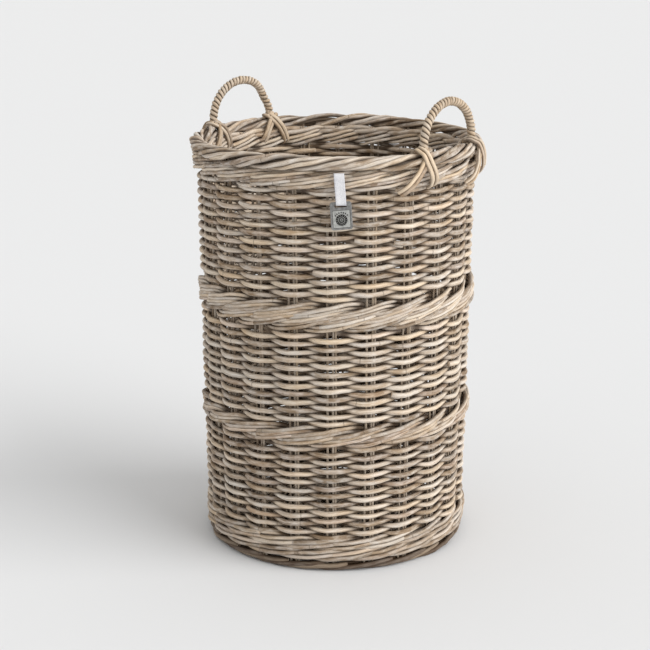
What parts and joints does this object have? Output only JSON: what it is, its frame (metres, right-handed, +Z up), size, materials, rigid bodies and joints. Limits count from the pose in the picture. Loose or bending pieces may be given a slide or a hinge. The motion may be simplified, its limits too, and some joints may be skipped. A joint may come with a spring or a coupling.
{
  "type": "laundry basket",
  "caption": "Tall round laundry basket woven from grey-washed rattan, with raised bands, a plaited rim, two cane-wrapped bow handles and a hang tag on a ribbon.",
  "frame": {"origin": "centre of the foot, on the floor", "axes": "+Z up along the basket's axis; the handles stand near the +X and -X sides; the tag hangs on the side between +X and -Y"},
  "size_m": [0.4277, 0.4238, 0.667],
  "materials": {
    "weaver_cane": "grey-washed rattan rods, matt, split along the grain",
    "stake_cane": "thin peeled rattan, matt",
    "border_cane": "thick grey-washed rattan rods, matt with worn highlights",
    "foot_cane": "darker unwashed rattan, matt",
    "handle_core_cane": "peeled rattan, matt",
    "handle_cane": "warm tan rattan cane, satin",
    "ribbon": "white woven cotton ribbon",
    "tag_metal": "aged grey metal, satin"
  },
  "bodies": {
    "basket": {"base_sticks_lower": "stake_cane", "base_sticks_upper": "stake_cane", "base_weave_bottom": "weaver_cane", "base_weave_top": "weaver_cane", "foot_border": "foot_cane", "foot_wale": "weaver_cane", "stake_01": "stake_cane", "stake_02": "stake_cane", "stake_03": "stake_cane", "stake_04": "stake_cane", "stake_05": "stake_cane", "stake_06": "stake_cane", "stake_07": "stake_cane", "stake_08": "stake_cane", "stake_09": "stake_cane", "stake_10": "stake_cane", "stake_11": "stake_cane", "stake_12": "stake_cane", "stake_13": "stake_cane", "stake_14": "stake_cane", "stake_15": "stake_cane", "stake_16": "stake_cane", "stake_17": "stake_cane", "stake_18": "stake_cane", "stake_19": "stake_cane", "stake_20": "stake_cane", "stake_21": "stake_cane", "stake_22": "stake_cane", "weave_lower": "weaver_cane", "band_lower": "weaver_cane", "weave_middle": "weaver_cane", "band_upper": "weaver_cane", "weave_upper": "weaver_cane", "rim_wale": "weaver_cane", "rim_border": "border_cane", "handle_right_core": "handle_core_cane", "handle_right_wrap": "handle_cane", "handle_left_core": "handle_core_cane", "handle_left_wrap": "handle_cane", "lashing_right_front": "handle_cane", "lashing_right_back": "handle_cane", "lashing_left_back": "handle_cane", "lashing_left_front": "handle_cane", "tag_ribbon_tuck": "ribbon"},
    "ribbon": {"tag_ribbon": "ribbon"},
    "plate": {"tag_plate": "tag_metal"}
  },
  "joints": [
    {"name": "ribbon_swing", "type": "hinge", "parent": "basket", "child": "ribbon", "pos_m": [0.12543, -0.17264, 0.577], "axis": [-0.809, -0.5878, 0], "range_deg": [0, 100]},
    {"name": "plate_swing", "type": "hinge", "parent": "ribbon", "child": "plate", "pos_m": [0.12543, -0.17264, 0.53925], "axis": [-0.809, -0.5878, 0], "range_deg": [-15, 75]}
  ]
}
